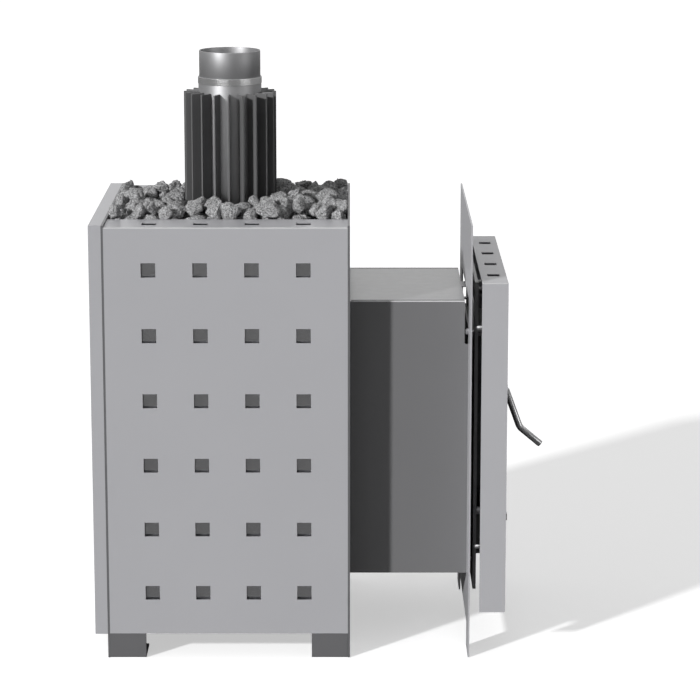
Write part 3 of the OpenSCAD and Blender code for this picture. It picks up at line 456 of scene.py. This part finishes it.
# %% Rolled metal: fine streaks along one direction
rolled_metal, start, end = node_group(
    "rolled metal",
    [("Streak scale", 60), ("Stretch", 30), ("Streak depth", 0.1)],
    [("Shade", "Float"), ("Streak", "Float")])
at = object_coordinates(rolled_metal)
split = rolled_metal.nodes.new("ShaderNodeSeparateXYZ")
join = rolled_metal.nodes.new("ShaderNodeCombineXYZ")
rolled_metal.links.new(at, split.inputs[0])
rolled_metal.links.new(split.outputs[0], join.inputs[0])
rolled_metal.links.new(split.outputs[1], join.inputs[1])
upright = math_node(rolled_metal, "MULTIPLY", split.outputs[2], start.outputs["Stretch"])
rolled_metal.links.new(upright, join.inputs[2])
streak = noise_node(rolled_metal, join.outputs[0], start.outputs["Streak scale"], 4)
shade = shade_about_one(rolled_metal, streak, start.outputs["Streak depth"])
for label, value in (("Shade", shade), ("Streak", streak)):
    rolled_metal.links.new(value, end.inputs[label])

# %% Material helpers
coat_rough = 0.12
streak_relief = 0.03 * mm


def new_material(name, metallic=0.0, coat=0.0):
    """A material with a plain Principled shader, and the sockets that do not vary set on it."""
    material = bpy.data.materials.new(name)
    material.use_nodes = True
    tree = material.node_tree
    shader = tree.nodes["Principled BSDF"]
    shader.inputs["Metallic"].default_value = metallic
    shader.inputs["Coat Weight"].default_value = coat
    return material, tree, shader


def place_group(tree, group, **values):
    """Puts a shader group in a material with its own values; _ in a name stands for a space."""
    node = tree.nodes.new("ShaderNodeGroup")
    node.node_tree = group
    for label, value in values.items():
        node.inputs[label.replace("_", " ")].default_value = value
    return node.outputs


def tint(tree, colour, shade):
    """The colour times a shade that changes over the surface."""
    node = tree.nodes.new("ShaderNodeMix")
    node.data_type = "RGBA"
    node.blend_type = "MULTIPLY"
    node.inputs["Factor"].default_value = 1
    first, second = [socket for socket in node.inputs if socket.type == "RGBA"]
    first.default_value = (*colour, 1)
    tree.links.new(shade, second)
    return next(socket for socket in node.outputs if socket.type == "RGBA")


def spread(tree, factor, low, high):
    """Maps a factor from 0 to 1 onto the range from low to high."""
    node = tree.nodes.new("ShaderNodeMapRange")
    node.inputs["To Min"].default_value = low
    node.inputs["To Max"].default_value = high
    tree.links.new(factor, node.inputs["Value"])
    return node.outputs[0]


def bump(tree, shader, height, distance, strength=0.5):
    """Feeds a height into the shader's normal; distance is the relief in metres."""
    node = tree.nodes.new("ShaderNodeBump")
    node.inputs["Strength"].default_value = strength
    node.inputs["Distance"].default_value = distance
    tree.links.new(height, node.inputs["Height"])
    tree.links.new(node.outputs[0], shader.inputs["Normal"])


def paint(name, colour, rough=(0.38, 0.48), peel=0.05 * mm, coat=0.0):
    """Baked-on paint: nearly even colour, orange peel and slightly uneven gloss. The coat is a
    clear gloss on top."""
    material, tree, shader = new_material(name, coat=coat)
    shader.inputs["Coat Roughness"].default_value = coat_rough
    film = place_group(tree, paint_film)
    tree.links.new(tint(tree, colour, film["Shade"]), shader.inputs["Base Color"])
    tree.links.new(spread(tree, film["Patch"], *rough), shader.inputs["Roughness"])
    bump(tree, shader, film["Peel"], peel)
    return material


def metal(name, colour, rough=(0.25, 0.4), stretch=30.0, depth=0.15, metallic=1.0):
    """Bare or plated steel with fine streaks from rolling or drawing. Steel under a thin grey film
    is less metallic."""
    material, tree, shader = new_material(name, metallic=metallic)
    rolled = place_group(tree, rolled_metal, Stretch=stretch, Streak_depth=depth)
    tree.links.new(tint(tree, colour, rolled["Shade"]), shader.inputs["Base Color"])
    tree.links.new(spread(tree, rolled["Streak"], *rough), shader.inputs["Roughness"])
    bump(tree, shader, rolled["Streak"], streak_relief, 0.3)
    return material


# %% [markdown]
# ## Finishes
#
# The casing and the screen are light grey with a little gloss; the tunnel is dark and glossier.
# The feet and the frame plates are darker still, and pieces that see fire are matt black. The
# shields behind the casing's holes are galvanised, which gives the holes their even middle grey:
# they reflect the room. Each finish is one Principled shader, since it handles paint, metal and
# glass alike.

# %% Paints and metals
casing_grey = paint("casing paint", (0.435, 0.435, 0.455), coat=0.25)
screen_grey = paint("screen paint", (0.455, 0.455, 0.475), coat=0.25)
shield_zinc = metal("galvanised sheet", (0.50, 0.50, 0.51), rough=(0.16, 0.22), depth=0.06)
# Lighter paint for the long bends: a painted highlight, the thin light line a glossy bend catches.
fold_highlight = paint("painted fold highlight", (0.56, 0.56, 0.565), rough=(0.3, 0.4))
# The portal plate has the frame's dark paint. This lighter grey is painted light that lifts its
# shade between the wall plate and the screen.
portal_lightened_grey = paint("lightened portal paint", (0.32, 0.32, 0.325))
bin_grey = paint("bin paint", (0.22, 0.22, 0.23))
foot_grey = paint("foot paint", (0.13, 0.13, 0.135))
shroud_grey = paint("shroud paint", (0.172, 0.172, 0.177), rough=(0.28, 0.36), coat=0.5)
hot_black = paint("stove black", (0.045, 0.045, 0.047), rough=(0.5, 0.65))
frame_grey = paint("frame paint", (0.13, 0.13, 0.135))
flue_grey = metal("flue steel", (0.255, 0.255, 0.26), rough=(0.44, 0.52), stretch=0.05, depth=0.08,
                  metallic=0.7)
fin_grey = paint("fin paint", (0.125, 0.125, 0.127), rough=(0.34, 0.44))
zinc = metal("bright zinc", (0.75, 0.75, 0.76))
dull_zinc = metal("dull zinc", (0.30, 0.30, 0.31), rough=(0.4, 0.55))
handle_steel = metal("handle steel", (0.34, 0.34, 0.345), rough=(0.22, 0.32), stretch=1.0)
band_steel = metal("band steel", (0.93, 0.93, 0.935), rough=(0.16, 0.24), depth=0.05)
tray_steel = paint("tray steel", (0.10, 0.10, 0.10), rough=(0.5, 0.6))
cast_iron = paint("cast iron", (0.05, 0.05, 0.05), rough=(0.6, 0.75), peel=0.4 * mm)
rope = paint("gasket rope", (0.55, 0.54, 0.50), rough=(0.9, 1.0), peel=0.6 * mm)

glass, tree, shader = new_material("door glass")
shader.inputs["Base Color"].default_value = (0.5, 0.5, 0.5, 1)
shader.inputs["Roughness"].default_value = 0.03
shader.inputs["Transmission Weight"].default_value = 1.0

# %% Finish of each slot
finish_of_slot = {
    "frame_paint": frame_grey, "casing_paint": casing_grey, "screen_paint": screen_grey,
    "shield_paint": bin_grey, "shield_zinc": shield_zinc, "foot_paint": foot_grey,
    "shroud_paint": shroud_grey, "hot_black": hot_black, "cast_iron": cast_iron,
    "flue_grey": flue_grey, "bright_zinc": zinc, "dull_zinc": dull_zinc,
    "handle_steel": handle_steel, "tray_steel": tray_steel, "gasket_rope": rope, "glass": glass,
}
print("finishes", len(bpy.data.materials), "slots", len(finish_of_slot))

# %% [markdown]
# ## Stones
#
# The bin holds split rock, coarse below and finer on top, heaped a little above the casing. A
# rigid-body simulation could drop the stones in, but it would be slow. Here they start as balls
# at random places, and are pushed apart and pulled down until they rest.

# %% The bin's inside
rng = np.random.default_rng(11)
fill_low, fill_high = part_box("lower_stones")
heap_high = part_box("upper_stones")[1].z
fin_low, fin_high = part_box("flue_fins")
flue_centre = np.array([(fin_low.x + fin_high.x) / 2, 0.0])
fin_radius = (fin_high.x - fin_low.x) / 2
plate_front, plate_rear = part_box("front_plate")[0].x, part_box("rear_plate")[1].x
flange_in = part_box("stone_bin")[1].y
skin = 0.3 * mm
wall_low = np.array([plate_rear + skin, -flange_in + skin, 0.0])
wall_high = np.array([plate_front - skin, flange_in - skin, np.inf])
size_spread = (0.72, 1.28)
pull, push = 0.06, 0.3


def settle(count, mean_radius, low, high, steps):
    """Packs balls between two corners. Each step pulls all of them down a little, and less from
    step to step, pushes overlapping pairs apart by a share of the overlap, and puts back those
    that left the box or entered the flue."""
    radius = mean_radius * rng.uniform(*size_spread, count)
    low, high = np.array(low), np.array(high)
    place = rng.uniform(low + mean_radius, high - mean_radius, (count, 3))
    for step in range(steps):
        place[:, 2] -= pull * mean_radius * (1 - step / steps)
        apart = place[:, None] - place[None]
        distance = np.linalg.norm(apart, axis=2) + np.eye(count)
        overlap = np.clip(radius[:, None] + radius[None] - distance, 0, None) * (1 - np.eye(count))
        place += (apart / distance[..., None] * overlap[..., None] * push).sum(axis=1)
        away = place[:, :2] - flue_centre
        from_flue = np.linalg.norm(away, axis=1)
        need = np.clip(fin_radius + radius - from_flue, 0, None)
        place[:, :2] += away / from_flue[:, None] * need[:, None]
        for axis in (0, 1):
            place[:, axis] = np.clip(place[:, axis], low[axis] + radius, high[axis] - radius)
        place[:, 2] = np.clip(place[:, 2], low[2] + radius, None)
    return place, radius


# %% [markdown]
# Split rock has flat broken faces, sharp arrises and a rough skin. Displacing a sphere with noise
# alone gives potatoes, so each stone is first cut by random planes, and then its faces are
# roughened with waves, the finer ones folded into ridges.

# %% Stone shapes
plane_count = 10
plane_reach = (0.55, 1.02)
hardness = 24
waves = ((3.0, 0.08, False), (5.0, 0.16, True), (9.0, 0.13, True), (15.0, 0.07, True))
wave_count, wave_gain, ridge_middle = 4, 1.6, 0.6
least_facing, farthest_cut = 0.05, 1.35
radius_limits = (0.5, 1.3)
squash_range = (0.78, 1.14)
stone_swell = 1.06


def ball(level):
    """Points and triangles of an even ball of radius 1."""
    bm = bmesh.new()
    bmesh.ops.create_icosphere(bm, subdivisions=level, radius=1)
    points = np.array([v.co for v in bm.verts])
    faces = np.array([[v.index for v in f.verts] for f in bm.faces])
    bm.free()
    return points, faces


def broken_stone(ray, size):
    """Radius of a stone along each ray: the nearest of the random planes by the soft minimum
    -log(sum(exp(-hardness * cut))) / hardness, plus waves sin(ray . turn + phase). A folded wave
    is ridge_middle - abs(wave), which has sharp ridges."""
    normal = rng.normal(size=(plane_count, 3))
    normal /= np.linalg.norm(normal, axis=1)[:, None]
    reach = rng.uniform(*plane_reach, plane_count)
    facing = np.clip(ray @ normal.T, least_facing, None)
    cut = np.minimum(reach / facing, farthest_cut)
    radius = -np.log(np.exp(-hardness * cut).sum(axis=1)) / hardness
    radius = np.clip(radius, *radius_limits)
    for wave, height, folded in waves:
        turn = rng.normal(size=(wave_count, 3)) * wave
        phase = rng.uniform(0, 2 * math.pi, wave_count)
        swell = np.sin(ray @ turn.T + phase)
        shape = ridge_middle - np.abs(swell) if folded else swell
        radius += height * shape.mean(axis=1) * wave_gain
    return radius * size


def heap(name, place, radius, node, material, level):
    """Broken stones at the given places as one mesh, each made from a ball of the given level.
    Points that would pass through the bin's walls are put back on them."""
    ray, triangles = ball(level)
    points, faces = [], []
    for centre, size in zip(place, radius):
        reach = broken_stone(ray, size * stone_swell)
        squash = rng.uniform(*squash_range, 3)
        points.append(np.clip(centre + ray * reach[:, None] * squash, wall_low, wall_high))
        faces.append(triangles + len(faces) * len(ray))
    piece = link_mesh(name, np.concatenate(points), np.concatenate(faces), smooth_angle=70)
    dress(piece, [node], material)


# %% [markdown]
# The rock is grey and speckled, with patches of a lighter grey and darker grains. One fine noise
# drives both the speckles and a deep bump, so that grains and pits lie at the same places.

# %% Rock finish
darkest_grain = 0.12
grain_scale, patch_scale = 300, 45
speckle_range, patch_share = (-2.2, 3.5), 0.7
rock_colour = (0.42, 0.42, 0.425)
pit_depth = 7 * mm
rock, tree, shader = new_material("split rock")
at = object_coordinates(tree)
grain = noise_node(tree, at, grain_scale, 6, 0.7)
patch = noise_node(tree, at, patch_scale, 4)
speckle = spread(tree, grain, *speckle_range)
tone = math_node(tree, "ADD", speckle, math_node(tree, "MULTIPLY", patch, patch_share))
tone = math_node(tree, "MAXIMUM", tone, darkest_grain)
tree.links.new(tint(tree, rock_colour, tone), shader.inputs["Base Color"])
shader.inputs["Roughness"].default_value = 0.85
bump(tree, shader, grain, pit_depth, 0.9)

# %% The coarse stones below
fill_count, fill_steps = 80, 200
fill_stone = 28 * mm
fill_ball, heap_ball = 3, 4
fill_place, fill_radius = settle(fill_count, fill_stone, fill_low, fill_high, fill_steps)
heap("stones_below", fill_place, fill_radius, "lower_stones", rock, fill_ball)

# %% The heap on top
# More stones settle than the bin can hold. Those above a gentle hill, which is highest in line
# with the flue, are taken away. The heap is made in two halves, which keeps each mesh light.
heap_count, heap_steps = 520, 320
heap_stone = 15.5 * mm
heap_depth, drop_room = 34 * mm, 60 * mm
hill_foot, hill_rise, hill_reach = 7 * mm, 9 * mm, 170 * mm

heap_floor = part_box("side_panel_near")[1].z - heap_depth
heap_place, heap_radius = settle(heap_count, heap_stone, (plate_rear, -flange_in, heap_floor),
                                 (plate_front, flange_in, heap_high + drop_room), heap_steps)
near_flue = np.clip(1 - np.abs(heap_place[:, 0] - flue_centre[0]) / hill_reach, 0, 1)
keep = heap_place[:, 2] + heap_radius < heap_high - hill_foot + hill_rise * near_flue
heap_place, heap_radius = heap_place[keep], heap_radius[keep]
left = heap_place[:, 0] < flue_centre[0]
for name, half in (("stones_on_top_left", left), ("stones_on_top_right", ~left)):
    heap(name, heap_place[half], heap_radius[half], "upper_stones", rock, heap_ball)
print("stones left and right", left.sum(), (~left).sum(),
      "top", round(float((heap_place[:, 2] + heap_radius).max()), 3), "limit", round(heap_high, 3))

# %% [markdown]
# ## Folded sheets
#
# Sheet steel has a round bend where it's folded and a small deburred edge where it's cut. The long
# top bends of the side panels, the screen and the tunnel get a lighter paint, a painted highlight
# that draws a thin light line along each. The tunnel's lid lies between its side walls with an open
# gap along each side; the gap is cut out of the CAD node's copy, so the wall's thickness shows in
# it.

# %% Folded sheets
panel_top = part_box("side_panel_near")[1].z
half_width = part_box("side_panel_far")[1].y
shroud_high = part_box("tunnel_shroud")[1]
screen_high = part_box("front_screen")[1]
bend_radius, screen_bend, sole_bend = 1.8 * mm, 1.2 * mm, 3 * mm
lid_gap = (3.0 * mm, 9.0 * mm)
gap_start, gap_past, gap_depth = 2 * mm, 1 * mm, 5 * mm
near = 0.1 * mm


def along_fold(side_y, at_z):
    """A test for the long edges at a sheet's outer corner, at both sides of the mid-plane."""
    return lambda middle: abs(abs(middle.y) - side_y) < near and abs(middle.z - at_z) < near


# The long top bends carry the painted highlight.
for node in ("side_panel_near", "side_panel_far"):
    formed(node, casing_grey, [(along_fold(half_width, panel_top), bend_radius)], bend_highlight=fold_highlight)
formed("front_screen", screen_grey, [(along_fold(screen_high.y, screen_high.z), screen_bend)],
       bend_highlight=fold_highlight)
lid_cuts = []
for side in (-1, 1):
    edges = sorted(side * (shroud_high.y - inset) for inset in lid_gap)
    lid_cuts.append(((casing_front + gap_start, edges[0], shroud_high.z - gap_depth),
                     (shroud_high.x + gap_past, edges[1], shroud_high.z + gap_depth)))
formed("tunnel_shroud", shroud_grey, [(along_fold(shroud_high.y, shroud_high.z), bend_radius)],
       edge=0.3 * mm, cuts=lid_cuts, bend_highlight=fold_highlight)
formed("feet", foot_grey, [(along_fold(half_width, 0), sole_bend)], edge=0.6 * mm)
print("folded sheets", sorted(dressed))

# %% [markdown]
# ## Flue
#
# The core tube and the collar above it are one smooth tube to the eye, and the spigot above them
# has a slightly rounded rim. The CAD model's facets could be shaded smooth, but their outline
# would still show corners. A section of the pipe's wall turned round the axis gives a finer curve.

# %% Flue
core_low, core_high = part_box("flue_collector")
collar_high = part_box("flue_collar")[1]
spigot_low, spigot_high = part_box("flue_spigot")
flue_axis = ((core_low.x + core_high.x) / 2, 0, 0)
tube_radius = (core_high.x - core_low.x) / 2
spigot_radius = (spigot_high.x - spigot_low.x) / 2
tube_wall, tube_rim = 3.4 * mm, 0.5 * mm
spigot_wall, spigot_rim = 2 * mm, 0.8 * mm
spigot_lap = 1 * mm
rim_share = 0.3


def pipe_profile(radius, wall, low, high, rim):
    """Section of a pipe's wall. Each of its four corners becomes three points: one at rim from the
    corner on each face, and one between them, at a share of rim from both faces."""
    inner = radius - wall
    section = []
    corners = (radius, low, 1, -1), (radius, high, 1, 1), (inner, high, -1, 1), (inner, low, -1, -1)
    for r, z, out, up in corners:
        near_corner = (r - out * rim_share * rim, z - up * rim_share * rim)
        corner = [(r - out * rim, z), near_corner, (r, z - up * rim)]
        section += corner if out * up < 0 else corner[::-1]
    return section


flue_tube = turned("flue_core_tube", pipe_profile(
    tube_radius, tube_wall, core_low.z, collar_high.z, tube_rim), flue_axis)
dress(flue_tube, ["flue_collector", "flue_collar"], flue_grey)
spigot = turned("flue_spigot_tube", pipe_profile(
    spigot_radius, spigot_wall, collar_high.z - spigot_lap, spigot_high.z, spigot_rim), flue_axis)
dress(spigot, ["flue_spigot"], flue_grey)
print("flue tube and spigot across", [round(2 * r / mm, 1) for r in (tube_radius, spigot_radius)])

# %% [markdown]
# ## Door handle
#
# The handle is a round bar with one bend, set on a hub that lies on the door. Its shaft runs
# through the bush to the latch. A bevelled curve could make the bar, but a tube of rings gives
# its cut end a rounded edge, which holds the highlight.

# %% Door handle
handle_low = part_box("door_handle")[0]
bush_low, bush_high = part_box("handle_bushing")
leaf_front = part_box("door_leaf")[1].x
shaft_y, shaft_z = (bush_low.y + bush_high.y) / 2, (bush_low.z + bush_high.z) / 2
rod_radius, hub_radius, shaft_radius = 6.2 * mm, 9.9 * mm, 6.1 * mm
hub_length, nut_side_radius = 7 * mm, 4 * mm
bend_out, bend_down, tip_out, tip_down = 26 * mm, 71.5 * mm, 39 * mm, 32.5 * mm
bend_rounding = 22 * mm
rod_rim, hub_rim, shaft_rim = 1.6 * mm, 1.2 * mm, 0.5 * mm
hub_clear, shaft_lap, shaft_past, tail_lap = 0.2 * mm, 1 * mm, 4 * mm, 3 * mm


def capped_bar(name, path, radius, rim):
    """A round bar along a path in an upright plane, with its two end edges rounded by rim."""
    path = [np.array(p, float) for p in path]
    ends = []
    for first, second in ((path[0], path[1]), (path[-1], path[-2])):
        inward = (second - first) / np.linalg.norm(second - first)
        ends.append([first, first + inward * rim_share * rim, first + inward * rim])
    full = ends[0] + path[1:-1] + ends[1][::-1]
    end_radii = [radius - rim, radius - rim_share * rim, radius]
    radii = end_radii + [radius] * (len(path) - 2) + end_radii[::-1]
    return tube(name, full, radii, (0, 1, 0), 48)


def on_shaft(*places):
    """Points on the shaft's axis at the given x."""
    return [(x, shaft_y, shaft_z) for x in places]


hub_middle = leaf_front + hub_length / 2
bend = (hub_middle + bend_out, shaft_y, shaft_z - bend_down)
tip = (bend[0] + tip_out, shaft_y, bend[2] - tip_down)
rod_path = fillet([(hub_middle, shaft_y, shaft_z), bend, tip], bend_rounding, 12)
bars = [
    ("handle_rod", rod_path, rod_radius, rod_rim),
    ("handle_hub", on_shaft(leaf_front + hub_clear, leaf_front + hub_length), hub_radius, hub_rim),
    ("handle_shaft", on_shaft(bush_low.x - shaft_past, leaf_front + shaft_lap), shaft_radius,
     shaft_rim),
    ("handle_tail", on_shaft(handle_low.x, bush_low.x - tail_lap), nut_side_radius, shaft_rim),
]
for name, path, radius, rim in bars:
    dress(capped_bar(name, path, radius, rim), ["door_handle"], handle_steel)
print("handle bars", len(bars), "tip at", [round(float(v), 3) for v in tip])

# %% [markdown]
# ## All the other nodes
#
# The band and the fins have a finish of their own. The portal plate has a paint lighter than the
# frame's, which is painted light that lifts its deep shade. Each other node takes the finish of its
# slot and a small deburred edge. Cast pieces have rounder edges.

# %% Other nodes
formed("clamp_band", band_steel, edge=0.15 * mm)
formed("flue_fins", fin_grey)
# Lighter paint on the portal plate: painted light in its shade.
formed("portal_plate", portal_lightened_grey)
edge_of_slot = {"cast_iron": 1.2 * mm, "bright_zinc": 0.25 * mm, "dull_zinc": 0.25 * mm}
plain_edge = 0.35 * mm
rest = [node for node in frame["nodes"] if node not in dressed]
for node in rest:
    slot = slot_of_node[node]
    formed(node, finish_of_slot[slot], edge=edge_of_slot.get(slot, plain_edge))
print("nodes with the finish of their slot", len(rest))

# %% [markdown]
# ## Floor
#
# The photograph's floor is white and holds only the heater's soft shadow. A shadow catcher leaves
# the ground transparent, so a large plain floor is used. To the camera it is near white and glows
# a little; to the heater it is a middle grey, which keeps the heater's own shadows dark.

# %% Floor
floor_size = 60
floor_grey, floor_bounce_grey = 0.95, 0.3
floor_glow = 0.5
floor_mesh = bpy.data.meshes.new("floor")
corners = [(x * floor_size, y * floor_size, 0) for x, y in ((-1, -1), (1, -1), (1, 1), (-1, 1))]
floor_mesh.from_pydata(corners, [], [(0, 1, 2, 3)])
floor = bpy.data.objects.new("floor", floor_mesh)
scene.collection.objects.link(floor)
floor_white, tree, shader = new_material("floor")
shader.inputs["Roughness"].default_value = 1
shader.inputs["Specular IOR Level"].default_value = 0
to_camera = tree.nodes.new("ShaderNodeLightPath").outputs["Is Camera Ray"]
glow = math_node(tree, "MULTIPLY", to_camera, floor_glow)
tree.links.new(spread(tree, to_camera, floor_bounce_grey, floor_grey), shader.inputs["Base Color"])
shader.inputs["Emission Color"].default_value = (1, 1, 1, 1)
tree.links.new(glow, shader.inputs["Emission Strength"])
floor.data.materials.append(floor_white)
print("floor", 2 * floor_size, "m wide")
